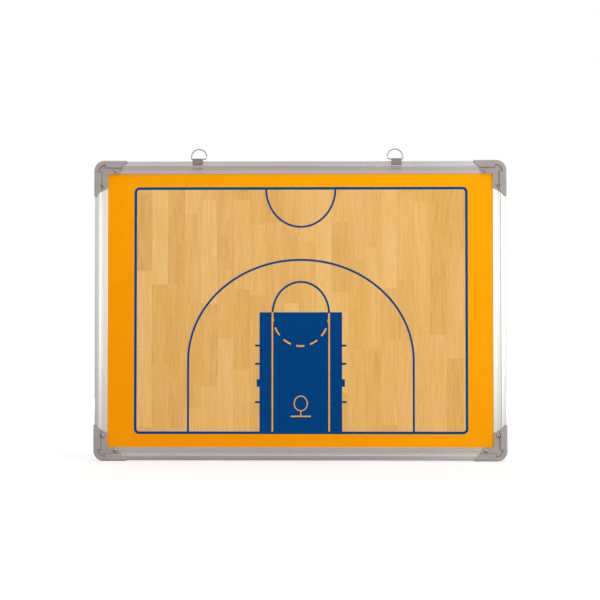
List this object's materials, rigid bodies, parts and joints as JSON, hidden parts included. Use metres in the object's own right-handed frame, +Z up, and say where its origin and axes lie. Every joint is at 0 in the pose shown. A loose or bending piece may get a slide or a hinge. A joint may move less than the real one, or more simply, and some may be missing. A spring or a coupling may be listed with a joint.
{
  "type": "tactics board",
  "caption": "Framed magnetic board printed with a basketball half court, with plastic corner caps and clip-on hanging rings, for drawing and pinning plays.",
  "frame": {"origin": "on the plane under the lower corner caps, midway across the width and the depth", "axes": "+X to the right seen from the printed front, +Y from the front to the back, +Z up"},
  "size_m": [0.6, 0.0174, 0.4539],
  "materials": {
    "print_film": "satin",
    "steel_sheet": "satin",
    "paper_core": "matte",
    "back_coat": "satin",
    "anodised_aluminium": "satin",
    "grey_plastic": "matte",
    "zinc_screw": "satin",
    "spring_steel": "satin",
    "tab_steel": "satin",
    "bright_wire": "polished"
  },
  "bodies": {
    "board": {"court_print_film": "print_film", "steel_face_sheet": "steel_sheet", "core_board": "paper_core", "back_sheet": "back_coat", "top_rail": "anodised_aluminium", "bottom_rail": "anodised_aluminium", "left_rail": "anodised_aluminium", "right_rail": "anodised_aluminium", "corner_cap_top_left": "grey_plastic", "corner_cap_top_right": "grey_plastic", "corner_cap_bottom_left": "grey_plastic", "corner_cap_bottom_right": "grey_plastic", "screw_top_left_top_rail": "zinc_screw", "screw_top_left_left_rail": "zinc_screw", "screw_top_right_top_rail": "zinc_screw", "screw_top_right_right_rail": "zinc_screw", "screw_bottom_left_bottom_rail": "zinc_screw", "screw_bottom_left_left_rail": "zinc_screw", "screw_bottom_right_bottom_rail": "zinc_screw", "screw_bottom_right_right_rail": "zinc_screw"},
    "left_clip": {"left_hanger_clip": "spring_steel", "left_ring_tab": "tab_steel"},
    "left_ring": {"left_hanging_ring": "bright_wire"},
    "right_clip": {"right_hanger_clip": "spring_steel", "right_ring_tab": "tab_steel"},
    "right_ring": {"right_hanging_ring": "bright_wire"}
  },
  "joints": [
    {"name": "left_clip_slide", "type": "slide", "parent": "board", "child": "left_clip", "axis": [1, 0, 0], "range_m": [-0.092, 0.134]},
    {"name": "left_ring_swing", "type": "hinge", "parent": "left_clip", "child": "left_ring", "pos_m": [-0.149, -0.00705, 0.4381], "axis": [1, 0, 0], "range_deg": [-90, 150]},
    {"name": "right_clip_slide", "type": "slide", "parent": "board", "child": "right_clip", "axis": [1, 0, 0], "range_m": [-0.1253, 0.1007]},
    {"name": "right_ring_swing", "type": "hinge", "parent": "right_clip", "child": "right_ring", "pos_m": [0.1403, -0.00705, 0.4381], "axis": [1, 0, 0], "range_deg": [-90, 150]}
  ]
}
